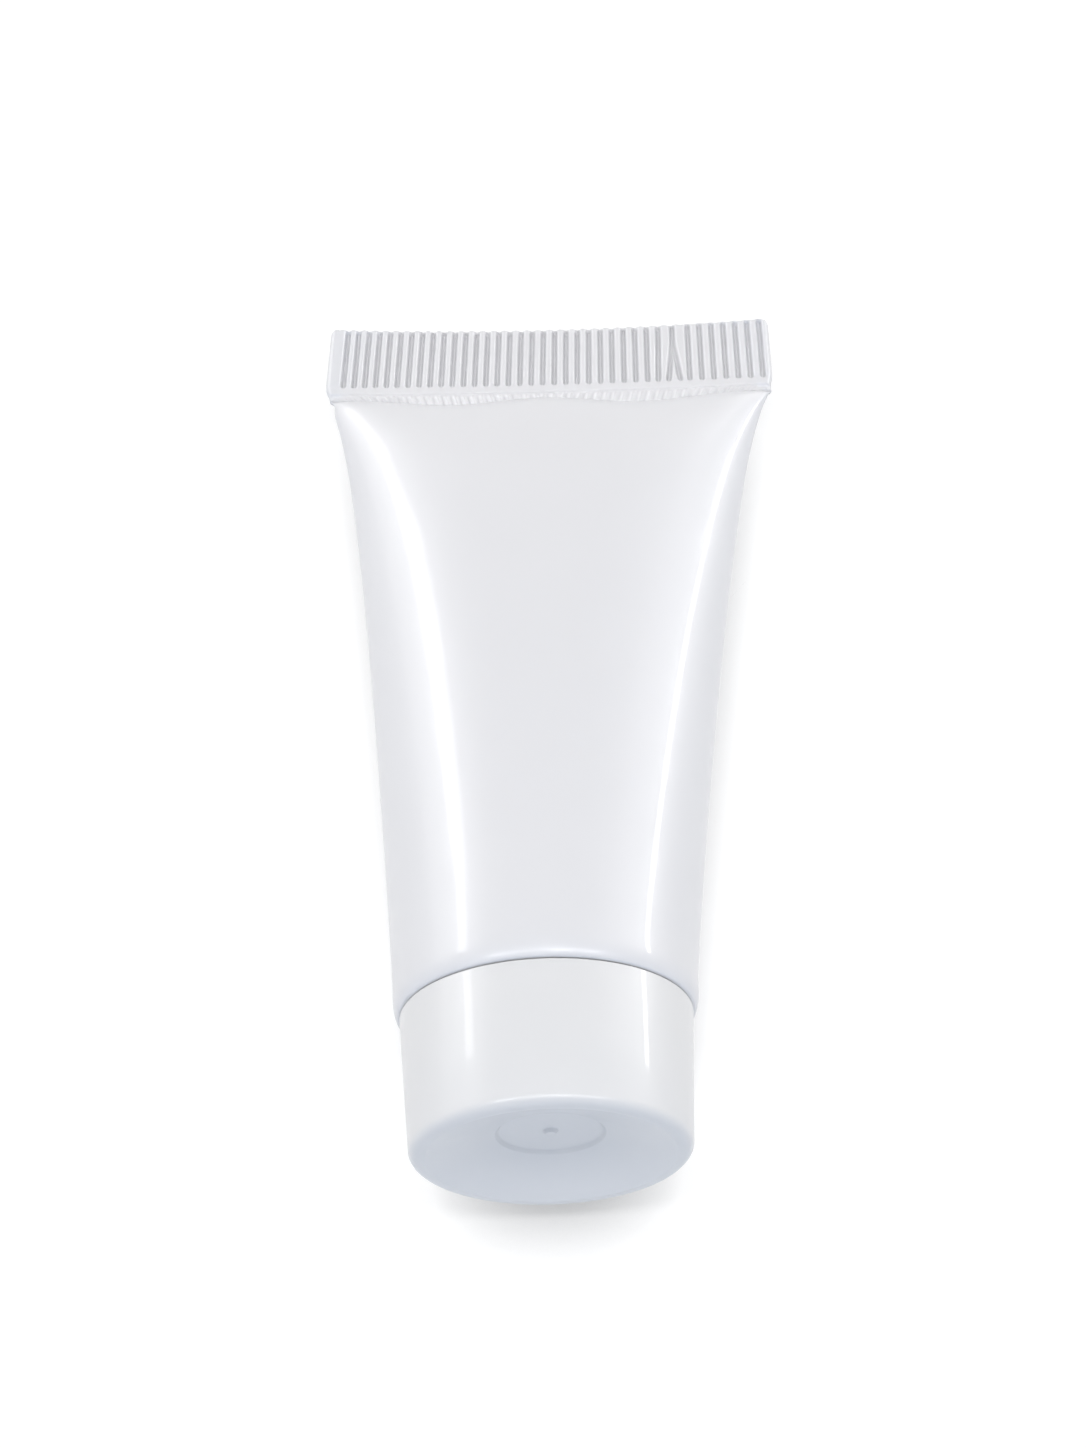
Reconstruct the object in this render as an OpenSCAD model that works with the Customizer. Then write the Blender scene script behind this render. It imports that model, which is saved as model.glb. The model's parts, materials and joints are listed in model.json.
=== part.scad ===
// Cosmetic squeeze tube, full, with a ribbed crimped tail and a screw cap, lying on its back.
// Each piece is drawn on the tube's own axis, its local Z: the sleeve's lip is at Z = 0, the tail
// is above it, the cap hangs below it, and local -Y is the face that looks up once the tube lies.

/* [Sleeve] */
// Diameter of the round sleeve at the head
tube_d = 22; // [19:0.5:26]
// Length of the sleeve from its lip to the start of the flat seal
belly_len = 52.1; // [44:0.1:70]
// Thickness of the sleeve's wall
wall = 0.45; // [0.35:0.05:0.6]
// Radius at which the sleeve curls in over the head
lip_r = 1.5; // [1.2:0.1:2]
// How long the belly stays round before it flattens: a higher value stays round longer
belly_hold = 1.08; // [1:0.02:1.6]
// How bluntly the belly closes at the tail: a lower value is blunter
belly_close = 0.37; // [0.34:0.01:0.5]

/* [Tail] */
// Thickness of the flat seal between its ribs
seal_t = 0.8; // [0.7:0.05:1.2]
// Length of the plain strip between the belly and the ribs
plain_len = 1; // [0.8:0.1:3]
// Length of the ribs
rib_len = 5; // [4:0.1:8]
// Height of a rib over the seal's face
rib_h = 0.24; // [0.1:0.02:0.4]
// Number of ribs across each face of the seal
ribs = 39; // [24:1:42]
// Radius of the two outer corners of the tail
corner_r = 0.7; // [0.5:0.1:1.5]
// How much narrower each side of the tail is at its edge than at the ribs' foot
tail_taper = 0.25; // [0:0.05:0.6]
// Sideways shift of the tail from the tube's axis
tail_shift = 2.1; // [0:0.1:3]
// Angle by which the tail is out of square with the axis
tail_skew = 1.5; // [0:0.1:3]
// How far the middle of the tail's edge bends back
tail_bow = 0.9; // [0:0.1:1.5]

/* [Head] */
// Drop of the shoulder's cone from the sleeve's lip to the foot of the neck
shoulder_drop = 2; // [1:0.1:3]
// Thickness of the moulded shoulder and neck
head_t = 1.1; // [0.8:0.05:1.5]
// Height to which the head's skirt is welded inside the sleeve and holds it round
skirt_len = 2.6; // [2.2:0.1:6]
// Diameter of the neck under its thread
neck_d = 10.4; // [9:0.1:11]
// Diameter of the outlet in the end of the neck
outlet_d = 4; // [2:0.1:5]
// Thickness of the neck's end around the outlet
outlet_t = 0.9; // [0.7:0.05:1.5]

/* [Cap] */
// How much smaller in diameter the cap's open edge is than the sleeve
cap_step = 0.9; // [0.2:0.1:2]
// How much smaller in diameter the cap is at its closed end
cap_draft = 0.9; // [0.4:0.1:1.6]
// Distance from the sleeve's lip to the rim of the cap
cap_len = 10.7; // [9:0.1:16]
// Thickness of the cap's outer wall
cap_wall = 1.05; // [0.8:0.05:1.3]
// Thickness of the cap's closed end
end_wall = 1; // [0.8:0.05:1.4]
// Radius of the fillet between the cap's side and its rim
rim_fillet = 0.7; // [0.5:0.1:1.4]
// Width of the flat land on the cap's rim
rim_land = 0.85; // [0.3:0.05:1.2]
// Depth from the rim to the disc in the middle of the cap's end
dish_depth = 1.35; // [1:0.05:1.8]
// Diameter of that disc
disc_d = 8.6; // [6:0.1:10]
// Height of the step between the disc and the cone around it
disc_step = 0.3; // [0.1:0.05:0.5]
// Diameter of the moulding point on the disc
gate_d = 0.85; // [0.5:0.05:1.2]
// Height of the moulding point
gate_h = 0.25; // [0.1:0.05:0.4]
// Thickness of the collar that carries the cap's thread
collar_t = 1.1; // [0.8:0.05:1.4]

/* [Liner] */
// Thickness of the sealing wad in the cap
liner_t = 0.8; // [0.6:0.05:1.2]

/* [Clearances] */
// Gap between the cap's open edge and the plane of the sleeve's lip
cap_gap = 0.25; // [0.15:0.05:0.5]
// Radial room between the neck and the cap's collar, which the threads fill
thread_room = 0.5; // [0.4:0.05:0.6]
// Gap between the collar's edge and the shoulder
collar_gap = 0.5; // [0.3:0.05:0.8]
// Gap between the wad and the neck's end
seal_gap = 0.1; // [0.05:0.05:0.2]
// Gap around the wad inside the cap
liner_gap = 0.1; // [0.05:0.05:0.2]
// Gap between the welded head and the sleeve, and between the filling and its walls
bond_gap = 0.05; // [0.03:0.01:0.1]

/* [Rest] */
// Where the laid tube's back meets the ground, as a share of the way from the skirt to the seal
touch_at = 0.39; // [0.34:0.01:0.44]
// Depth by which the soft back is pressed flat where it lies
rest_flat = 0.2; // [0.1:0.05:0.4]

/* [Hidden] */
$fn = 96;

tube_r = tube_d / 2;
seal_half = seal_t / 2;
rib_foot = belly_len + plain_len;
tail_top = rib_foot + rib_len;

// Points round the belly: one for each rib of both faces, so that each rib grows out of one facet
around = 2 * ribs;
// Points across one rib, and the rib's height at each as a share of rib_h
RIB_WAVE = [0, 0.85, 1, 0.85];
rib_points = len(RIB_WAVE);
tail_around = around * rib_points;
lip_rings = 4;
belly_rings = 14;
// How much the belly's sections crowd towards the seal, where it closes fastest
crowding = 1.8;
neck_facets = 40;
edge_steps = 6;

// Radii and heights of the head, from the sleeve's inside
head_r = tube_r - wall - bond_gap;
lip_hole_r = tube_r - lip_r;
shoulder_r = lip_hole_r - bond_gap;
neck_r = neck_d / 2;
neck_bore_r = neck_r - head_t;
mouth_z = cap_len - dish_depth - end_wall - liner_t - seal_gap - liner_gap / 2;

// Radii and heights of the cap
cap_r = tube_r - cap_step / 2;
cap_end_r = cap_r - cap_draft / 2;
land_out_r = cap_end_r - rim_fillet;
dish_r = land_out_r - rim_land;
disc_r = disc_d / 2;
collar_r = neck_r + thread_room;
roof_z = cap_len - dish_depth - end_wall;
edge_r = 0.3;

// Depth of the shoulder's cone under the lip at radius r
function shoulder_z(r) = shoulder_drop * (shoulder_r - r) / (shoulder_r - neck_r);

// Height of the dish's cone under the lip at radius r
function dish_z(r) =
    let (low = cap_len - dish_depth + disc_step)
    low + (cap_len - edge_r - low) * (r - disc_r) / (dish_r - disc_r);

// Girth of an ellipse with half axes a and b
function girth(a, b) =
    let (h = pow((a - b) / (a + b), 2))
    PI * (a + b) * (1 + 3 * h / (10 + sqrt(4 - 3 * h)));

// Half width at which an ellipse of half depth b has girth g, found by halving the range
function fit_width(b, g, low, high, steps = 22) =
    let (middle = (low + high) / 2)
    steps == 0 ? middle :
    girth(middle, b) > g ? fit_width(b, g, low, middle, steps - 1)
                         : fit_width(b, g, middle, high, steps - 1);

// How far height z is along the free belly, from 0 at the skirt to 1 at the seal
function along(z) = max(0, z - skirt_len) / (belly_len - skirt_len);

// Half depth of the belly at height z, and the half width that leaves its girth unchanged
function belly_depth(z) =
    seal_half + (tube_r - seal_half) * pow(1 - pow(along(z), belly_hold), belly_close);
function belly_width(z) = fit_width(belly_depth(z), girth(tube_r, tube_r), tube_r / 2, 2 * tube_r);

// How far an arc of radius r at the lip has turned in from the side at height z
function curl(z, r) = z < lip_r ? r - sqrt(max(0, r * r - pow(lip_r - z, 2))) : 0;

// Sideways place and squareness of the section at height z
function drift(z) = tail_shift * pow(along(z) / along(tail_top), 1.1);
function skew(z) = tan(tail_skew) * pow(min(along(z), 1), 1.5);

// Place across the width, from 1 to -1 and back, of point i out of n
function across(i, n) = i <= n / 2 ? 1 - 4 * i / n : 4 * i / n - 3;

// Points of one oval section: evenly turned where it is round, evenly spaced where it is flat
function oval(z, a, b, n) =
    let (flat = pow(along(z), 4))
    [for (i = [0:n - 1])
        let (even = acos(across(i, n)),
             turned = 360 * i / n,
             t = turned + flat * ((i <= n / 2 ? even : 360 - even) - turned),
             x = a * cos(t))
        [drift(z) + x, -b * sin(t), z - x * skew(z)]];

// Half width of the tail at height z, with its outer corners rounded
function tail_width(z) =
    let (over = max(0, z - (tail_top - corner_r)))
    belly_width(belly_len) - tail_taper * max(0, z - rib_foot) / rib_len
    - corner_r + sqrt(max(0, corner_r * corner_r - over * over));

// Points of one flat section of the tail: rib is how much of the ribs' height it has
function strip(z, rib) =
    let (full = belly_width(belly_len),
         inner = full - 2 * corner_r,
         squeeze = (tail_width(z) - inner) / (full - inner),
         bend = tail_bow * pow(max(0, z - rib_foot) / rib_len, 1.3))
    [for (i = [0:tail_around - 1])
        let (u = across(i, tail_around),
             far = full * abs(u),
             x = sign(u) * (far > inner ? inner + (far - inner) * squeeze : far),
             side = i % (tail_around / 2) == 0 ? 0 : i < tail_around / 2 ? -1 : 1,
             out = seal_half + rib * rib_h * RIB_WAVE[i % rib_points])
        [drift(z) + x, side * out + bend * (1 - u * u), z - x * skew(z)]];

// Faces between two rings of n points that start at a and b
function band(a, b, n) =
    [for (i = [0:n - 1])
        let (j = (i + 1) % n)
        each [[a + i, b + j, a + j], [a + i, b + i, b + j]]];

// Faces between a ring of n points at a and a ring of n * k points at b
function fan(a, b, n, k) =
    [for (i = [0:n - 1])
        let (j = (i + 1) % n)
        each concat([for (s = [0:k - 1]) [a + i, b + i * k + s, b + (i * k + s + 1) % (n * k)]],
                    [[a + i, b + (j * k) % (n * k), a + j]])];

// Faces that close a flat ring of n points at a, from its front half to its back half
function lid(a, n) =
    [for (i = [0:n / 2 - 1])
        let (back = (n - i) % n)
        each concat([[a + i, a + n - i - 1, a + i + 1]],
                    i > 0 ? [[a + i, a + back, a + n - i - 1]] : [])];

function turned_over(faces) = [for (f = faces) [f[2], f[1], f[0]]];

// Sections of the sleeve: the cavity from its end to the lip, the outside, then the tail
belly_heights = [for (k = [0:belly_rings])
    skirt_len + (belly_len - skirt_len) * (1 - pow(1 - k / belly_rings, crowding))];
cavity_top = belly_heights[belly_rings - 1];
lip_heights = [for (k = [0:lip_rings]) lip_r * (1 - cos(90 * k / lip_rings))];
cavity_lip_heights = [for (k = [0:lip_rings]) lip_r - (lip_r - wall) * cos(90 * k / lip_rings)];
outer_heights = concat(lip_heights, belly_heights);
inner_heights = concat(cavity_lip_heights, [for (k = [0:belly_rings - 1]) belly_heights[k]]);

// The laid tube leans on its belly: the lean is the belly's slope where it meets the ground
touch_z = skirt_len + touch_at * (belly_len - skirt_len);
touch_share = pow(touch_at, belly_hold);
touch_slope = (tube_r - seal_half) / (belly_len - skirt_len) * belly_hold * belly_close
    * touch_share / touch_at * pow(1 - touch_share, belly_close - 1);
lean = atan(touch_slope);

// Height of the ground behind the axis at height z, once the back is pressed flat
function ground_y(z) = belly_depth(touch_z) + touch_slope * (touch_z - z) - rest_flat / cos(lean);

// Ring of points whose back, lying inset inside the sleeve's outside, is pressed flat
function pressed(ring, inset) = [for (p = ring) [p[0], min(p[1], ground_y(p[2]) - inset), p[2]]];

function outer_ring(z) =
    pressed(oval(z, belly_width(z) - curl(z, lip_r), belly_depth(z) - curl(z, lip_r), around), 0);
function inner_ring(z, gap, n) =
    let (inset = wall + gap + curl(z, lip_r - wall))
    pressed(oval(z, belly_width(z) - inset, belly_depth(z) - inset, n), wall + gap);

tail_rings = [
    [belly_len + plain_len * 0.35, 0],
    [rib_foot, 0],
    [rib_foot + rib_len * 0.07, 0.8],
    [rib_foot + rib_len * 0.16, 1],
    [tail_top - corner_r, 1],
    [tail_top - corner_r * 0.3, 1],
    [tail_top, 0.7]
];

inner_count = len(inner_heights);
outer_count = len(outer_heights);
tail_start = (inner_count + outer_count) * around;
sleeve_points = concat(
    [for (k = [inner_count - 1:-1:0]) each inner_ring(inner_heights[k], 0, around)],
    [for (z = outer_heights) each outer_ring(z)],
    [for (r = tail_rings) each strip(r[0], r[1])]);
sleeve_faces = concat(
    turned_over(lid(0, around)),
    [for (k = [0:inner_count + outer_count - 2]) each band(k * around, (k + 1) * around, around)],
    fan(tail_start - around, tail_start, around, rib_points),
    [for (k = [0:len(tail_rings) - 2])
        each band(tail_start + k * tail_around, tail_start + (k + 1) * tail_around, tail_around)],
    lid(tail_start + (len(tail_rings) - 1) * tail_around, tail_around));

// Reach of the laid tube along the ground and down to it
laid_y = [for (p = sleeve_points) p[2] * cos(lean) - p[1] * sin(lean)];
laid_z = [for (p = sleeve_points) -p[2] * sin(lean) - p[1] * cos(lean)];
laid_x = [for (p = sleeve_points) p[0]];
cap_reach = (cap_len - rim_fillet) * cos(lean) + land_out_r * sin(lean) + rim_fillet;
middle_x = (min(laid_x) + max(laid_x)) / 2;
middle_y = (max(laid_y) - cap_reach) / 2;

// Lays a piece down: the origin is on the ground, under the middle of the whole tube
module laid() {
    translate([-middle_x, -middle_y, -min(laid_z)])
        rotate([-90 - lean, 0, 0])
            children();
}

// Points of an arc in a profile, from angle a to angle b
function arc(cx, cy, r, a, b, n = edge_steps) =
    [for (k = [0:n]) let (t = a + (b - a) * k / n) [cx + r * cos(t), cy + r * sin(t)]];

// Extruded sleeve with its tail pressed flat, sealed and ribbed
module sleeve() {
    color([0.93, 0.93, 0.945])
        laid()
            polyhedron(sleeve_points, sleeve_faces, convexity = 6);
}

// Moulded head: skirt in the sleeve, shoulder, neck and outlet
module head() {
    outside = concat(
        [[outlet_d / 2, -mouth_z]],
        arc(neck_r - edge_r, edge_r - mouth_z, edge_r, -90, 0),
        [[neck_r, -shoulder_drop], [shoulder_r, 0], [shoulder_r, wall + bond_gap]],
        arc(lip_hole_r, lip_r, lip_r - wall - bond_gap, -90, 0),
        [[head_r, skirt_len]]);
    inside = [
        [head_r - head_t, skirt_len],
        [head_r - head_t, lip_r],
        [neck_bore_r, head_t - shoulder_drop],
        [neck_bore_r, outlet_t - mouth_z],
        [outlet_d / 2, outlet_t - mouth_z]
    ];
    color([0.95, 0.95, 0.96])
        laid()
            rotate_extrude()
                polygon(concat(outside, inside));
}

// Filling: a column in the neck that widens under the shoulder and fills the belly
module cream() {
    bore_r = neck_bore_r - bond_gap;
    skirt_r = head_r - head_t - bond_gap;
    base_z = head_t - shoulder_drop + bond_gap;
    rise = 1.2 * bond_gap;
    narrow = [[outlet_t - mouth_z + bond_gap, bore_r], [base_z, bore_r], [lip_r + bond_gap, skirt_r],
        [skirt_len, skirt_r]];
    full = concat([skirt_len + rise], [for (k = [1:belly_rings - 2]) belly_heights[k]], [cavity_top - rise]);
    rings = concat(
        [for (s = narrow) oval(s[0], s[1], s[1], neck_facets)],
        [for (z = full) inner_ring(z, bond_gap, neck_facets)]);
    faces = concat(
        turned_over(lid(0, neck_facets)),
        [for (k = [0:len(rings) - 2]) each band(k * neck_facets, (k + 1) * neck_facets, neck_facets)],
        lid((len(rings) - 1) * neck_facets, neck_facets));
    color([0.97, 0.95, 0.9])
        laid()
            polyhedron([for (r = rings) each r], faces, convexity = 4);
}

// Sealing wad between the neck's end and the cap's closed end
module cap_liner() {
    color([0.8, 0.84, 0.88])
        laid()
            translate([0, 0, -mouth_z - seal_gap - liner_t])
                cylinder(r = collar_r - liner_gap, h = liner_t);
}

// Screw cap: tapered skirt, threaded collar and a dished end with a sunken disc
module screw_cap() {
    disc_z = cap_len - dish_depth;
    collar_out = collar_r + collar_t;
    collar_top = shoulder_z(collar_r) + collar_gap;
    inner_r = cap_r - cap_wall;
    inner_end_r = cap_end_r - cap_wall;
    outside = concat(
        [[0, -disc_z - gate_h], [gate_d / 2 - 0.1, -disc_z - gate_h], [gate_d / 2, -disc_z]],
        [[disc_r - 0.1, -disc_z], [disc_r, -disc_z - disc_step]],
        [[dish_r - edge_r, -dish_z(dish_r - edge_r)]],
        arc(dish_r, edge_r - cap_len, edge_r, -110, -90, 3),
        arc(land_out_r, rim_fillet - cap_len, rim_fillet, -90, 0),
        arc(cap_r - edge_r, -cap_gap - edge_r, edge_r, 0, 90));
    inside = [
        [inner_r, -cap_gap],
        [inner_end_r, end_wall - dish_z(inner_end_r)],
        [collar_out, end_wall - dish_z(collar_out)],
        [collar_out, -collar_top],
        [collar_r, -collar_top],
        [collar_r, -roof_z],
        [0, -roof_z]
    ];
    color([0.9, 0.9, 0.91])
        laid()
            rotate_extrude()
                polygon(concat(outside, inside));
}

sleeve();
head();
cream();
cap_liner();
screw_cap();
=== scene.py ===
"""Cosmetic squeeze tube lying on its back: sleeve, crimped tail, head, thread and screw cap."""
import json
import math

import bpy
import numpy as np
from mathutils import Matrix, Vector

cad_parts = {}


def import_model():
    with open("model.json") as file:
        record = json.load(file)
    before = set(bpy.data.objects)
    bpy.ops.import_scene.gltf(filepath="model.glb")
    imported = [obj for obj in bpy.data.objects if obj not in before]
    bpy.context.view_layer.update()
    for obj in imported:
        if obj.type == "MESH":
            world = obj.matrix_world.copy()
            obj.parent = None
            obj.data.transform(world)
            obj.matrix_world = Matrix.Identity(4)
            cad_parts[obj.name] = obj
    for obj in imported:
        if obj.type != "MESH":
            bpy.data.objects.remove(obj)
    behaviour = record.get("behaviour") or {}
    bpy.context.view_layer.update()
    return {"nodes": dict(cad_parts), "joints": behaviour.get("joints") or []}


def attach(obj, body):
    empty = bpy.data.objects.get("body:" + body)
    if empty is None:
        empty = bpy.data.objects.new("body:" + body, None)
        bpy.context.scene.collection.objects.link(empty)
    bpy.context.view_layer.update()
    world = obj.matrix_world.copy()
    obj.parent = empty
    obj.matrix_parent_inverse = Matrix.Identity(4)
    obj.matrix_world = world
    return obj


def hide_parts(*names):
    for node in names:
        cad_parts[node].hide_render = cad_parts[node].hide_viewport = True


# Sizes in millimetres along the tube's own axis: the sleeve's lip is at z 0, the tail above it
TUBE_R = 11.0
BELLY_LEN = 52.1
WALL = 0.45
LIP_R = 1.5
LIP_CURL = 0.5
LIP_INNER_R = 9.5
BELLY_HOLD = 1.08
BELLY_CLOSE = 0.37
SKIRT_LEN = 2.6
SEAL_HALF = 0.4
PLAIN_LEN = 1.0
RIB_LEN = 5.0
RIB_H = 0.24
RIBS = 39
TAIL_SHIFT = 2.1
TAIL_SKEW = math.radians(1.5)
TAIL_BOW = 0.9
CAP_R = 10.55
CAP_END_R = 10.1
CAP_LEN = 10.7
CAP_GAP = 0.06
DISH_R = 8.95
DISC_R = 3.8
DISC_H = 8.75
ROOF_H = 8.35
NECK_R = 5.2
COLLAR_R = 5.7
COLLAR_WALL = 1.1
COLLAR_FOOT = 3.0
CAP_WALL = 1.05
RIM_FILLET = 0.75
DISC_STEP = 0.26
NUB_R = 0.58
NUB_H = 0.26
THREAD_LEAD = 2.5
THREAD_H = 0.28
THREAD_TOP = 6.8
# Height and radius of each edge of the cream below the sleeve's round part
CREAM_FOOT = ((-6.48, 4.05), (-0.85, 4.05), (1.55, 9.35), (2.6, 9.35))

RIB_FOOT = BELLY_LEN + PLAIN_LEN
TAIL_TOP = RIB_FOOT + RIB_LEN

# Grooves between the ribs, and the number of the one that forks
GROOVE_DEPTH = 0.54
GROOVE_WIDTH = 0.185
FORKED = 29
# The ribs' pitch grows from the left edge of the tail to the right edge, and the tail narrows
PITCH_GROWTH = 1.16
FAN_OUT = 0.018
# Lower edge of the plain strip, over the puckers where the film leaves the seal
GATHER_TOP = BELLY_LEN + 0.27
# The belly's swelling starts lower in two lobes: depth, place across the tail and width
LOBES = ((1.15, -0.4, 0.36), (1.25, 0.38, 0.38))
# The side edges are drawn in beside the strip, left then right: depth, height and reach
WAISTS = ((0.4, 52.0, 0.75), (0.15, 52.5, 0.6))
# From this height up to the seal, the sleeve's sections sag towards the cap
SAG_START = 44
SAG_EDGE, SAG_MIDDLE = 0.3, 0.22

# Mesh steps: places from one groove's middle to the next, in shares of the ribs' pitch
FIRST_GROOVE = 0.7
RIB_STEPS = (0.0, 0.09, 0.18, 0.27, 0.36, 0.45, 0.55, 0.64, 0.73, 0.82, 0.91)
EDGE_GAP = 0.05
HALF = 1 + sum(EDGE_GAP < n + FIRST_GROOVE + s < RIBS - EDGE_GAP
               for n in range(-1, RIBS) for s in RIB_STEPS)
AROUND = 2 * HALF
BELLY_RINGS = 42
TURNED_STEPS = 224
ARC_STEPS = 7
THREAD_STEPS = 48

# Camera in the tube's own frame: x to the right, y down into the table, z towards the tail
EYE = (7.36, -286.51, -122.65)
LOOK = (-0.0213, 0.8906, 0.4544)
RIGHT = (0.9987, 0.0403, -0.0322)
LENS = 107.94

# World colour for what it lights; rays that show it see white
AMBIENT = (0.45, 0.452, 0.46)
# Floor: its colour where it is seen and where it only lights the tube, and its own white, which
# fades within CONTACT metres of the tube, most on the side away from the tail: a painted shadow
FLOOR_SEEN = 0.28
FLOOR_BOUNCE = 0.78
FLOOR_GLOW = 0.8
CONTACT = 0.0052
CONTACT_LEAN = 1.1

# Lamps that never show in the gloss: centre, aim, size in millimetres, radiance, colour
FILLS = {
    "overhead": ((0, -690, -80), (0, 0, 0), (300, 110), 20, (1, 1, 1)),
    "front_fill": ((0, -150, -600), (0, 0, -10), (200, 150), 5.0, (0.1, 0.45, 1.0)),
    "left_fill": ((-580, -155, 300), (0, 0, 30), (300, 600), 2.0, (1, 1, 1)),
    "right_fill": ((580, -155, 300), (0, 0, 30), (300, 600), 2.0, (1, 1, 1)),
}
# Strips beside the tube, seen only in the gloss: x and y, heights, widths laid over each
# other for a soft edge, radiance
STRIPS = {
    "left_panel": ((-509, -108), (150, 1500), (220, 340), 2.1),
    "right_panel": ((485, -185), (150, 1500), (200, 340), 2.1),
    "left_low": ((-455, -250), (150, 310), (30, 70), 13),
    "left_middle": ((-455, -250), (310, 470), (60, 110), 11),
    "left_high": ((-470, -219), (470, 800), (60, 110), 10),
    "left_top": ((-508, -108), (800, 1500), (60, 110), 9),
    "right_low": ((515, -50), (150, 300), (34,), 20),
    "right_middle": ((512, -72), (300, 470), (44,), 14),
    "right_high": ((458, -244), (470, 1300), (60, 110), 4.5),
}
# Lamps above the front, seen only in the gloss of rounded edges: azimuth, width, radiance
GLINTS = {
    "glint_left": (-34, 150, 7),
    "glint_middle": (13, 120, 7),
    "glint_right": (39, 90, 7),
    "glint_wide": (4, 780, 3.5),
}
GLINT_FAR = 600
GLINT_DEPTH = 140
GLINT_TILT = math.radians(16)


def tube_frame(joints):
    """Matrix from millimetres in the tube's own frame to metres in the model's frame."""
    turn = next(j for j in joints if j["name"] == "cap_turn")
    z = -Vector(turn["axis"]).normalized()
    x = Vector((1, 0, 0))
    y = z.cross(x)
    turned = Matrix((x, y, z)).transposed().to_4x4()
    return Matrix.Translation(turn["pos_m"]) @ turned @ Matrix.Scale(0.001, 4)


def smooth(low, high, v):
    t = np.clip((v - low) / (high - low), 0, 1)
    return t * t * (3 - 2 * t)


def bell(v, middle, width):
    return np.exp(-(((v - middle) / width) ** 2))


# Form of the sleeve


def girth(a, b):
    h = ((a - b) / (a + b)) ** 2
    return math.pi * (a + b) * (1 + 3 * h / (10 + np.sqrt(4 - 3 * h)))


def along(z):
    """How far height z is along the free belly, from 0 at the head's skirt to 1 at the seal."""
    return np.maximum(0, z - SKIRT_LEN) / (BELLY_LEN - SKIRT_LEN)


def belly_depth(z):
    left = 1 - np.minimum(along(z), 1) ** BELLY_HOLD
    return SEAL_HALF + (TUBE_R - SEAL_HALF) * left ** BELLY_CLOSE


def belly_width(z):
    """Half width that keeps the sleeve's girth as the belly flattens."""
    depth = belly_depth(z)
    low, high = np.full_like(depth, TUBE_R / 2), np.full_like(depth, 2 * TUBE_R)
    for _ in range(30):
        middle = (low + high) / 2
        wide = girth(middle, depth) > girth(TUBE_R, TUBE_R)
        high = np.where(wide, middle, high)
        low = np.where(wide, low, middle)
    return (low + high) / 2


def curl(z, depth):
    """How far the lip's edge has curled in at height z, on its way to depth."""
    return np.where(z < LIP_R, depth * (1 - np.sqrt(np.maximum(0, 1 - (1 - z / LIP_R) ** 2))), 0)


def drift(z):
    return TAIL_SHIFT * (along(z) / along(TAIL_TOP)) ** 1.1


def skew(z):
    return math.tan(TAIL_SKEW) * np.minimum(along(z), 1) ** 1.5


def rib_share(k):
    """Place across the tail, from 0 to 1, of rib number k."""
    growth = (PITCH_GROWTH - 1) / (2 * RIBS)
    return (k + growth * k * k) / (RIBS + growth * RIBS * RIBS)


def columns():
    """Rib numbers at which the front of the sleeve has a column of points, right to left."""
    k = np.array([n + FIRST_GROOVE + s for n in range(-1, RIBS) for s in RIB_STEPS])
    inner = k[(k > EDGE_GAP) & (k < RIBS - EDGE_GAP)]
    return np.concatenate([[RIBS], inner[::-1], [0]])


def across():
    """Place across the width, from 1 to -1 and back, of each point round a flat section."""
    front = 2 * rib_share(columns()) - 1
    return np.concatenate([front[:-1], front[::-1][:-1]])


def seal_lobes(u):
    """How far the belly's swelling starts below the seal, in two lobes beside the middle."""
    return sum(depth * bell(u, middle, width) for depth, middle, width in LOBES)


def sag(z, u):
    """How far the seal and the ribs' feet hang below their place, most in the middle."""
    share = smooth(SAG_START, BELLY_LEN, z)
    share = share * np.interp(z, [RIB_FOOT + 0.45, TAIL_TOP], [1, 0])
    return (SAG_EDGE + SAG_MIDDLE * (1 - u * u)) * share


def waist(x, z):
    """How far the side edge is drawn in beside the plain strip, more on the left."""
    left, right = (depth * bell(z, height, reach) for depth, height, reach in WAISTS)
    return np.where(x < 0, left, right)


def place(z, x, y):
    """Points of one section, moved to where the tail's drift, skew, sag and lobes put them."""
    u = np.clip(x / belly_width(np.array([BELLY_LEN]))[0], -1, 1)
    below_strip = np.clip((GATHER_TOP - z) / (GATHER_TOP - BELLY_LEN), 0, 1)
    near = smooth(SAG_START, BELLY_LEN, z) * below_strip
    height = z - seal_lobes(u) * near - sag(z, u) - x * skew(z)
    return np.stack([drift(z) + x, y, height], axis=1)


def oval(z, inset=0.0, hem=LIP_CURL):
    """One section of the belly: evenly turned where it is round, evenly spaced where flat."""
    turn = 2 * math.pi * np.arange(AROUND) / AROUND
    even = np.arccos(np.clip(across(), -1, 1))
    even[HALF + 1:] = 2 * math.pi - even[HALF + 1:]
    t = turn + along(z) ** 4 * (even - turn)
    at = np.array([z])
    inset = inset + curl(at, hem)[0]
    a, b = belly_width(at)[0] - inset, belly_depth(at)[0] - inset
    x, y = a * np.cos(t), -b * np.sin(t)
    x = x * (1 - waist(x, z) / a)
    return place(z, x, y)


def groove_centres(z):
    """Places of the grooves across the tail at height z; one of them forks in two."""
    down = 1 - (z - RIB_FOOT) / RIB_LEN
    k = np.arange(1, RIBS - 1) + FIRST_GROOVE
    fork = k[FORKED]
    open_up = max(0.0, down - 0.3) / 0.7
    k[FORKED + 1:] += 0.52
    k[FORKED] = fork + 0.2 - 0.45 * open_up
    branch = fork + 0.2 + 0.55 * open_up
    k[FORKED - 1] -= 0.12 * open_up
    lines = np.append(k, branch)
    return 2 * rib_share(lines) - 1


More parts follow.
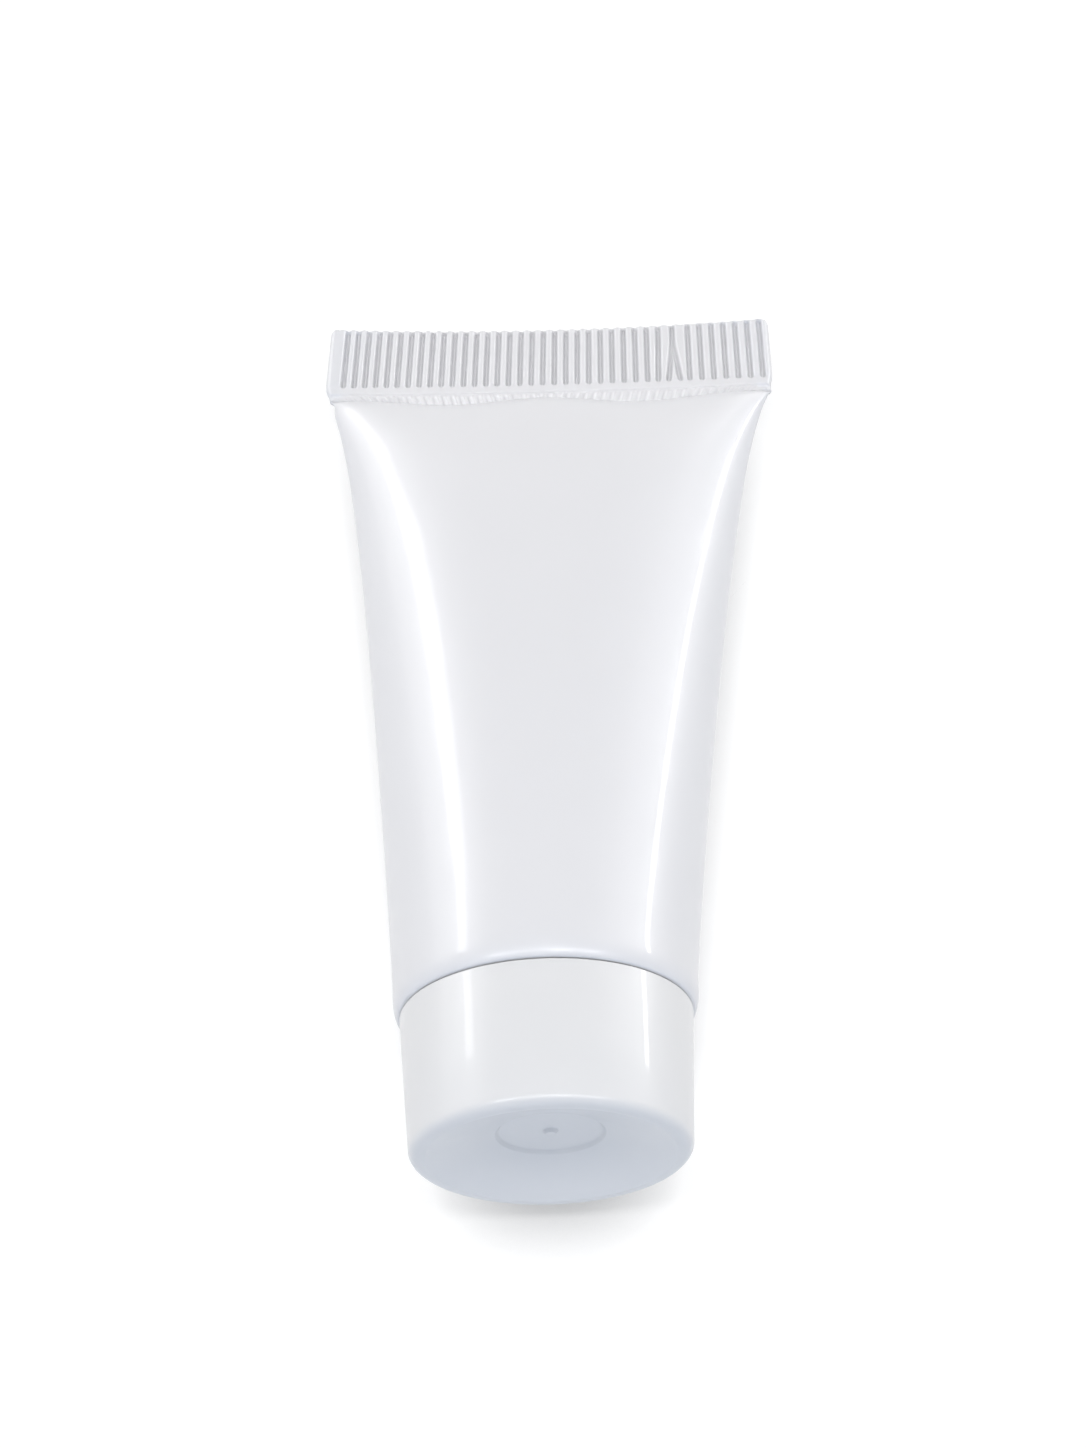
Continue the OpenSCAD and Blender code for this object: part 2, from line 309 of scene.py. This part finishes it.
def groove_depth(z, u, half_width):
    """Share of the full groove depth at each point of a tail section at height z."""
    depth = np.zeros_like(u)
    lowest, highest = RIB_FOOT + GROOVE_WIDTH, TAIL_TOP - 0.15 - GROOVE_WIDTH
    beyond = max(lowest - z, z - highest, 0.0)
    for number, centre in enumerate(groove_centres(z)):
        aside = np.abs(u - centre) * half_width
        away = np.hypot(aside, beyond)
        one = np.exp(-(away / GROOVE_WIDTH) ** 2.6)
        if number == RIBS - 2:
            one = one * smooth(0.25, 0.5, 1 - (z - RIB_FOOT) / RIB_LEN)
        depth = np.maximum(depth, one)
    return depth


def gathers(z, u):
    """Small oblique puckers where the film leaves the seal."""
    k = u * RIBS / 2 * 1.3
    up = (z - BELLY_LEN) / (GATHER_TOP - BELLY_LEN)
    wave = 0.5 + 0.5 * np.cos(2 * math.pi * (k - 0.7 * np.sign(u) * up))
    return 0.19 * wave * smooth(0.03, 0.4, seal_lobes(u)) * smooth(1.0, 0.8, up)


def tail_relief(z, u, full):
    """Height of the tail's face over the bare seal: strip, grooves and puckers."""
    step = smooth(GATHER_TOP - 0.12, GATHER_TOP + 0.16, z)
    level = RIB_H * (0.8 * step + 0.2 * smooth(RIB_FOOT, RIB_FOOT + 0.3, z))
    relief = level - GROOVE_DEPTH * groove_depth(z, u, full) * (z > RIB_FOOT - 0.1)
    return relief + gathers(z, u)


def tail_sideways(z, u, full):
    """Distance from the middle of each point across the tail, which narrows to its edge."""
    fan = 1 - FAN_OUT * max(0.0, z - RIB_FOOT) / RIB_LEN
    over = max(0.0, z - (TAIL_TOP - 0.45)) / 0.45
    corner = 0.4 * (1 - math.sqrt(max(0.0, 1 - over * over)))
    far = full * np.abs(u)
    inward = (waist(u, z) + corner) * smooth(full - 1.2, full, far)
    return np.sign(u) * (far - inward) * fan


def tail_section(z):
    """One section of the sealed tail, with rounded edges, a bow and a scalloped top."""
    u = across()
    full = belly_width(np.array([BELLY_LEN]))[0]
    top = smooth(TAIL_TOP - 0.16, TAIL_TOP, z)
    near_side = np.clip((full * np.abs(u) - full + 0.45) / 0.45, 0, 1)
    edge = np.sqrt(np.maximum(0, 1 - near_side ** 2))
    out = (SEAL_HALF + tail_relief(z, u, full)) * (1 - 0.45 * top * top) * edge
    side = np.concatenate([-np.ones(HALF), np.ones(HALF)])
    side[0] = side[HALF] = 0
    bow = TAIL_BOW * (max(0.0, z - RIB_FOOT) / RIB_LEN) ** 1.3
    points = place(z, tail_sideways(z, u, full), side * out + bow * (1 - u * u))
    k = columns() - FIRST_GROOVE
    scallop = -0.05 * np.cos(2 * math.pi * np.concatenate([k[:-1], k[::-1][:-1]]))
    points[:, 2] += scallop * smooth(TAIL_TOP - 0.6, TAIL_TOP, z)
    return points


def tail_heights():
    strip = np.linspace(BELLY_LEN + 0.02, GATHER_TOP + 0.15, 15)
    plain = np.linspace(GATHER_TOP + 0.2, RIB_FOOT - 0.1, 3)
    foot = np.linspace(RIB_FOOT, RIB_FOOT + 0.45, 8)
    ribs = np.linspace(RIB_FOOT + 0.7, TAIL_TOP - 0.8, 9)
    top = np.linspace(TAIL_TOP - 0.5, TAIL_TOP, 9)
    return np.concatenate([strip, plain, foot, ribs, top])


def pressed(points, ground, inset=0.0):
    """The back, lying inset inside the sleeve's outside, pressed flat on the ground."""
    level, slope = ground
    points[:, 1] = np.minimum(points[:, 1], level - slope * points[:, 2] - inset)
    return points


def hoop(z, r):
    """Round section of radius r at height z."""
    ring = oval(z)
    return ring * np.stack([*[r / np.hypot(ring[:, 0], ring[:, 1])] * 2, np.ones(AROUND)], axis=1)


def sleeve_rings(ground):
    """Sections of the film, up its inside, round the lip and along its outside to the tail."""
    inner_z = [50.0, 42.0, 30.0, 16.0, SKIRT_LEN, LIP_R]
    rings = [pressed(oval(z, WALL, 0), ground, WALL) for z in inner_z]
    fillet = LIP_R - WALL
    for angle in range(15, 91, 15):
        a = math.radians(angle)
        rings.append(hoop(LIP_R - fillet * math.sin(a), TUBE_R - LIP_R + fillet * math.cos(a)))
    rings += [hoop(WALL, LIP_INNER_R), hoop(0.03, LIP_INNER_R)]
    rings += [hoop(0.0, TUBE_R - LIP_CURL - 0.16), hoop(0.0, TUBE_R - LIP_CURL - 0.06)]
    outer_arc = np.radians(np.linspace(16, 90, 10))
    outer_z = list(LIP_R * (1 - np.cos(outer_arc))) + [2.0]
    share = 1 - (1 - np.arange(BELLY_RINGS + 1) / BELLY_RINGS) ** 2.7
    outer_z += list(SKIRT_LEN + (BELLY_LEN - SKIRT_LEN) * share)
    rings += [pressed(oval(z), ground) for z in outer_z]
    rings += [tail_section(z) for z in tail_heights()]
    return rings


def lid(start, flip):
    """Quads that close a flat ring from its front half to its back half."""
    faces = []
    for i in range(HALF):
        back, next_back = (AROUND - i) % AROUND, AROUND - i - 1
        face = [i, next_back, i + 1] if i == 0 else [i, back, next_back, i + 1]
        if i == HALF - 1:
            face = [i, back, HALF]
        face = [start + p for p in face]
        faces.append(face[::-1] if flip else face)
    return faces


def make_mesh(name, points, faces, frame_matrix):
    mesh = bpy.data.meshes.new(name)
    mesh.from_pydata([tuple(p) for p in points], [], faces)
    mesh.transform(frame_matrix)
    mesh.validate()
    mesh.shade_smooth()
    piece = bpy.data.objects.new(name, mesh)
    bpy.context.scene.collection.objects.link(piece)
    return piece


def loft_faces(rings, n):
    i = np.arange(n)
    j = (i + 1) % n
    faces = []
    for k in range(rings - 1):
        a, b = k * n, (k + 1) * n
        faces += np.stack([a + i, b + i, b + j, a + j], axis=1).tolist()
    return faces


def make_sleeve(to_model, ground):
    rings = sleeve_rings(ground)
    faces = lid(0, True) + loft_faces(len(rings), AROUND)
    faces += lid((len(rings) - 1) * AROUND, False)
    return make_mesh("sleeve_film", np.concatenate(rings), faces, to_model)


def make_cream(to_model, ground):
    """Filling of the neck and of the sleeve, up to where the film closes."""
    gap = 0.03
    rings = [hoop(z, r) for z, r in CREAM_FOOT]
    heights = np.linspace(SKIRT_LEN + 0.1, 49.9, 24)
    rings += [pressed(oval(z, WALL + gap, 0), ground, WALL + gap) for z in heights]
    faces = lid(0, True) + loft_faces(len(rings), AROUND)
    faces += lid((len(rings) - 1) * AROUND, False)
    return make_mesh("cream_fill", np.concatenate(rings), faces, to_model)


# Turned pieces


def rounded(corners):
    """Profile with an arc at each corner; a corner is (radius, height, fillet radius)."""
    out = [Vector(corners[0][:2])]
    for before, corner, after in zip(corners, corners[1:], corners[2:]):
        p, r = Vector(corner[:2]), corner[2]
        back = (Vector(before[:2]) - p).normalized()
        ahead = (Vector(after[:2]) - p).normalized()
        half = back.angle(ahead) / 2
        if r == 0 or half > math.radians(89):
            out.append(p)
            continue
        centre = p + (back + ahead).normalized() * (r / math.sin(half))
        start, end = p + back * (r / math.tan(half)), p + ahead * (r / math.tan(half))
        sweep = (start - centre).angle_signed(end - centre)
        for s in range(ARC_STEPS + 1):
            turned = (start - centre).copy()
            turned.rotate(Matrix.Rotation(-sweep * s / ARC_STEPS, 2))
            out.append(centre + turned)
    out.append(Vector(corners[-1][:2]))
    return out


def turned_piece(name, corners, to_model):
    """Solid of revolution about the tube's axis; heights run from the lip to the cap's end."""
    n = TURNED_STEPS
    profile = rounded(corners)
    t = 2 * math.pi * np.arange(n) / n
    ends = [(0.0, 0.0, -profile[0].y), (0.0, 0.0, -profile[-1].y)]
    rings = [np.stack([p.x * np.cos(t), p.x * np.sin(t), np.full(n, -p.y)], axis=1)
             for p in profile[1:-1]]
    faces = loft_faces(len(rings), n)
    last = (len(rings) - 1) * n
    count = len(rings) * n
    for i in range(n):
        j = (i + 1) % n
        faces += [[count, i, j], [count + 1, last + j, last + i]]
    return make_mesh(name, np.concatenate(rings + [np.array(ends)]), faces, to_model)


def cap_corners():
    """Profile of the cap: moulding point, disc, cone, rim, side, then the inside."""
    collar_out = COLLAR_R + COLLAR_WALL
    return [
        (0, DISC_H + NUB_H, 0), (0.36, DISC_H + NUB_H, 0.14), (NUB_R, DISC_H, 0.14),
        (DISC_R - 0.12, DISC_H, 0.22), (DISC_R + 0.14, DISC_H + DISC_STEP, 0.22),
        (DISH_R, CAP_LEN, 0.15), (CAP_END_R, CAP_LEN, RIM_FILLET), (CAP_R, CAP_GAP, 0.1),
        (CAP_R - CAP_WALL, CAP_GAP, 0.12), (CAP_END_R - 1.15, ROOF_H + 1.1, 0.3),
        (collar_out, ROOF_H + 0.75, 0.3), (collar_out, COLLAR_FOOT, 0.15),
        (COLLAR_R, COLLAR_FOOT, 0.15), (COLLAR_R, ROOF_H, 0.1), (0, ROOF_H, 0),
    ]


def thread(name, root_r, crest_r, start, end, phase, to_model):
    """Right-hand thread wound on or in a cylinder, tapering to nothing at both ends."""
    turns = (end - start) / THREAD_LEAD
    steps = int(turns * THREAD_STEPS)
    fade_turns = 0.2
    sunk = root_r - math.copysign(0.06, crest_r - root_r)
    rings = []
    for s in range(steps + 1):
        turn = turns * s / steps
        fade = smooth(0, fade_turns, min(turn, turns - turn)) * 0.98 + 0.02
        angle = phase + 2 * math.pi * turn
        crest = root_r + (crest_r - root_r) * fade
        section = [(sunk, -0.6), (root_r, -0.56), (crest, -0.24), (crest, 0.24),
                   (root_r, 0.56), (sunk, 0.6)]
        height, flat = start + THREAD_LEAD * turn, 0.4 + 0.6 * fade
        rings.append([(r * math.cos(angle), -r * math.sin(angle), -(height + h * flat))
                      for r, h in section])
    n = len(rings[0])
    faces = loft_faces(len(rings), n)
    last = (len(rings) - 1) * n
    faces += [list(range(n))[::-1], [last + i for i in range(n)]]
    if crest_r > root_r:
        faces = [f[::-1] for f in faces]
    return make_mesh(name, np.concatenate([np.array(r) for r in rings]), faces, to_model)


# Materials


def new_material(name):
    material = bpy.data.materials.new(name)
    material.use_nodes = True
    tree = material.node_tree
    tree.nodes.clear()
    shader = tree.nodes.new("ShaderNodeBsdfPrincipled")
    out = tree.nodes.new("ShaderNodeOutputMaterial")
    tree.links.new(shader.outputs[0], out.inputs[0])
    return material, tree, shader


def noise(tree, coords, scale, detail=3.0):
    node = tree.nodes.new("ShaderNodeTexNoise")
    node.inputs["Scale"].default_value = scale
    node.inputs["Detail"].default_value = detail
    tree.links.new(coords, node.inputs["Vector"])
    return node.outputs["Fac"]


def map_range(tree, value, low, high, to_low, to_high):
    node = tree.nodes.new("ShaderNodeMapRange")
    for name, v in zip(("From Min", "From Max", "To Min", "To Max"), (low, high, to_low, to_high)):
        node.inputs[name].default_value = v
    tree.links.new(value, node.inputs["Value"])
    return node.outputs["Result"]


def mixed(tree, factor, first, second):
    node = tree.nodes.new("ShaderNodeMix")
    node.data_type = "RGBA"
    tree.links.new(factor, node.inputs[0])
    for socket, value in ((node.inputs[6], first), (node.inputs[7], second)):
        if hasattr(value, "is_linked"):
            tree.links.new(value, socket)
        else:
            socket.default_value = (*value, 1)
    return node.outputs[2]


def math_node(tree, operation, first, second):
    node = tree.nodes.new("ShaderNodeMath")
    node.operation = operation
    for socket, value in zip(node.inputs, (first, second)):
        if hasattr(value, "is_linked"):
            tree.links.new(value, socket)
        else:
            socket.default_value = value
    return node.outputs[0]


def painted_shade_in_hollows(tree, base, colour, reach):
    """Base colour, darkened where the surface is closed in within reach metres: painted shade in
    grooves and hollows.
    """
    open_sky = tree.nodes.new("ShaderNodeAmbientOcclusion")
    open_sky.inputs["Distance"].default_value = reach
    return mixed(tree, open_sky.outputs["AO"], tuple(c * 0.78 for c in colour), base)


def grain_bump(tree, coords, depth):
    """Normal of a broad, faint unevenness with a fine grain over it, depth in metres."""
    bump = tree.nodes.new("ShaderNodeBump")
    bump.inputs["Strength"].default_value = 1.0
    bump.inputs["Distance"].default_value = depth
    height = math_node(tree, "MULTIPLY", noise(tree, coords, 180, 1.0), 12.0)
    height = math_node(tree, "ADD", height, noise(tree, coords, 1500, 2.0))
    tree.links.new(height, bump.inputs["Height"])
    return bump.outputs[0]


def plastic(name, colour, rough, grain, coat=0.0, coat_rough=0.05, soft=0.0, shade_reach=None):
    """Moulded or extruded plastic: faint cloudiness, uneven gloss and fine grain, with painted
    shade darkening its hollows if a reach is given.
    """
    material, tree, shader = new_material(name)
    coords = tree.nodes.new("ShaderNodeTexCoord").outputs["Object"]
    darker = tuple(c * 0.975 for c in colour)
    base = mixed(tree, noise(tree, coords, 90), darker, colour)
    # Base colour darkened by ambient occlusion in hollows: painted shade
    if shade_reach:
        base = painted_shade_in_hollows(tree, base, colour, shade_reach)
    tree.links.new(base, shader.inputs["Base Color"])
    gloss = map_range(tree, noise(tree, coords, 420), 0.3, 0.7, rough * 0.88, rough * 1.15)
    tree.links.new(gloss, shader.inputs["Roughness"])
    tree.links.new(grain_bump(tree, coords, grain), shader.inputs["Normal"])
    shader.inputs["IOR"].default_value = 1.5
    shader.inputs["Coat Weight"].default_value = coat
    shader.inputs["Coat Roughness"].default_value = coat_rough
    shader.inputs["Subsurface Weight"].default_value = soft
    shader.inputs["Subsurface Radius"].default_value = (1.0, 1.0, 1.0)
    shader.inputs["Subsurface Scale"].default_value = 0.0012
    return material


def paint(piece, material):
    piece.data.materials.clear()
    piece.data.materials.append(material)


# Stage, light and camera


def painted_shadow_share(tree, to_model):
    """Painted shadow for the floor's glow: 1 on the open floor, falling beside the tube, most where
    the tube lies tailwards.
    """
    tail = to_model.to_3x3().normalized() @ Vector((0, 0, 1))
    lean = Vector((tail.x * CONTACT_LEAN, tail.y * CONTACT_LEAN, 1)).normalized()
    towards = tree.nodes.new("ShaderNodeCombineXYZ")
    for socket, part in zip(towards.inputs, lean):
        socket.default_value = part
    contact = tree.nodes.new("ShaderNodeAmbientOcclusion")
    contact.inputs["Distance"].default_value = CONTACT
    tree.links.new(towards.outputs[0], contact.inputs["Normal"])
    return contact.outputs["AO"]


def make_floor(to_model):
    """White paper with only the soft shadow at the tube's foot, mostly painted into its glow, over
    a faint real shadow of the lamps.
    """
    size = 4.0
    mesh = bpy.data.meshes.new("floor")
    mesh.from_pydata([(-size, -size, 0), (size, -size, 0), (size, size, 0), (-size, size, 0)],
                     [], [(0, 1, 2, 3)])
    floor = bpy.data.objects.new("floor", mesh)
    bpy.context.scene.collection.objects.link(floor)
    material, tree, shader = new_material("floor_paper")
    tree.links.new(mixed(tree, seen_ray(tree), (FLOOR_BOUNCE,) * 3, (FLOOR_SEEN,) * 3),
                   shader.inputs["Base Color"])
    shader.inputs["Roughness"].default_value = 1.0
    shader.inputs["Specular IOR Level"].default_value = 0.0
    shader.inputs["Emission Color"].default_value = (1, 1, 1, 1)
    # The glow is darkened by ambient occlusion near the tube: a painted shadow
    glow = math_node(tree, "MULTIPLY", painted_shadow_share(tree, to_model), FLOOR_GLOW)
    tree.links.new(math_node(tree, "MULTIPLY", seen_ray(tree), glow),
                   shader.inputs["Emission Strength"])
    paint(floor, material)


def seen_ray(tree):
    """1 for rays that show a surface as it is: from the camera, a gloss or a clear part."""
    path = tree.nodes.new("ShaderNodeLightPath")
    shown = math_node(tree, "MAXIMUM", path.outputs["Is Camera Ray"], path.outputs["Is Glossy Ray"])
    return math_node(tree, "MAXIMUM", shown, path.outputs["Is Transmission Ray"])


def make_world():
    world = bpy.data.worlds.new("studio")
    bpy.context.scene.world = world
    world.use_nodes = True
    tree = world.node_tree
    tree.nodes.clear()
    background = tree.nodes.new("ShaderNodeBackground")
    out = tree.nodes.new("ShaderNodeOutputWorld")
    tree.links.new(mixed(tree, seen_ray(tree), AMBIENT, (1, 1, 1)), background.inputs["Color"])
    tree.links.new(background.outputs[0], out.inputs[0])


def area_light(name, to_model, centre, aim, size, radiance, colour=(1, 1, 1)):
    """Soft box at centre, aimed at aim, in millimetres of the tube's frame; its long side
    lies along the tube's axis."""
    data = bpy.data.lights.new(name, "AREA")
    data.shape = "RECTANGLE"
    data.size, data.size_y = size[0] * 0.001, size[1] * 0.001
    data.energy = radiance * math.pi * data.size * data.size_y
    data.color = colour
    light = bpy.data.objects.new(name, data)
    bpy.context.scene.collection.objects.link(light)
    away = (Vector(centre) - Vector(aim)).normalized()
    long_side = (Vector((0, 0, 1)) - away * away.z).normalized()
    turned = Matrix((long_side.cross(away), long_side, away)).transposed().to_4x4()
    spin = to_model.to_3x3().normalized().to_4x4() @ turned
    light.matrix_world = Matrix.Translation(to_model @ Vector(centre)) @ spin
    light.visible_camera = False
    return light


def add_fill(name, to_model, centre, aim, size, radiance, colour):
    """Soft lamp that lights the plastic and never shows in its gloss."""
    light = area_light(name, to_model, centre, aim, size, radiance, colour)
    light.visible_glossy = False


def add_strip(name, to_model, side, heights, widths, radiance):
    """Upright strip beside the tube that shows only in its gloss."""
    x, y = side
    start, end = heights
    middle = (start + end) / 2
    for number, width in enumerate(widths):
        light = area_light(f"{name}_{number}", to_model, (x, y, middle), (0, 0, middle),
                           (width, end - start), radiance / len(widths))
        light.visible_diffuse = False


def add_glint(name, to_model, azimuth, width, radiance):
    """Lamp above the front that shows only in the gloss of the lip and the cap's rim."""
    a = math.radians(azimuth)
    level, front = GLINT_FAR * math.cos(GLINT_TILT), GLINT_FAR * math.sin(GLINT_TILT)
    centre = (level * math.sin(a), -level * math.cos(a), -front)
    light = area_light(name, to_model, centre, (0, 0, 0), (width, GLINT_DEPTH), radiance)
    light.visible_diffuse = False


def make_lights(to_model):
    for lamps, add in ((FILLS, add_fill), (STRIPS, add_strip), (GLINTS, add_glint)):
        for name, values in lamps.items():
            add(name, to_model, *values)


def make_camera(to_model):
    data = bpy.data.cameras.new("camera")
    data.lens, data.sensor_width, data.clip_start = LENS, 36, 0.01
    camera = bpy.data.objects.new("camera", data)
    bpy.context.scene.collection.objects.link(camera)
    turn = to_model.to_3x3().normalized()
    back = -(turn @ Vector(LOOK)).normalized()
    right = turn @ Vector(RIGHT)
    right = (right - back * right.dot(back)).normalized()
    axes = Matrix((right, back.cross(right), back)).transposed().to_4x4()
    camera.matrix_world = Matrix.Translation(to_model @ Vector(EYE)) @ axes
    bpy.context.scene.camera = camera


def dress_tube(nodes, to_model, ground):
    # The film's colour is darkened in its grooves by ambient occlusion: painted shade
    film = plastic("sleeve_plastic", (0.80, 0.80, 0.82), 0.36, 1.2e-6, coat=0.3, coat_rough=0.07,
                   shade_reach=0.0005)
    moulded = plastic("head_plastic", (0.84, 0.84, 0.86), 0.34, 3e-6, soft=0.1)
    sleeve = make_sleeve(to_model, ground)
    paint(sleeve, film)
    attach(sleeve, "tube")
    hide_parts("sleeve")
    neck_thread = thread("neck_thread", NECK_R, NECK_R + THREAD_H, 3.0, THREAD_TOP, 0.0, to_model)
    paint(neck_thread, moulded)
    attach(neck_thread, "tube")
    paint(nodes["head"], moulded)
    nodes["head"].data.shade_smooth()
    cream = make_cream(to_model, ground)
    paint(cream, plastic("cream_filling", (0.86, 0.83, 0.76), 0.4, 2e-5, soft=0.3))
    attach(cream, "tube")
    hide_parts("cream")


def dress_cap(nodes, to_model):
    # The cap's colour is darkened in its recess and hollows by ambient occlusion: painted shade
    shell = plastic("cap_plastic", (0.80, 0.80, 0.805), 0.36, 1e-6, coat=0.3, coat_rough=0.05,
                    shade_reach=0.0015)
    cap = turned_piece("cap_shell", cap_corners(), to_model)
    start = 3.6
    phase = math.pi + 2 * math.pi * (start - 3.0) / THREAD_LEAD
    inner_thread = thread("cap_thread", COLLAR_R, COLLAR_R - THREAD_H, start, THREAD_TOP, phase,
                          to_model)
    for piece in (cap, inner_thread):
        paint(piece, shell)
        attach(piece, "cap")
    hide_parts("screw_cap")
    paint(nodes["cap_liner"], plastic("foam_wad", (0.78, 0.8, 0.82), 0.8, 3e-5))


def main():
    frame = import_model()
    bpy.context.scene.view_settings.view_transform = "Standard"
    to_model = tube_frame(frame["joints"])
    make_camera(to_model)
    origin, axes = to_model.translation, to_model.to_3x3()
    ground = (-origin.z / axes[2][1], axes[2][2] / axes[2][1])
    dress_tube(frame["nodes"], to_model, ground)
    dress_cap(frame["nodes"], to_model)
    make_floor(to_model)
    make_world()
    make_lights(to_model)


main()
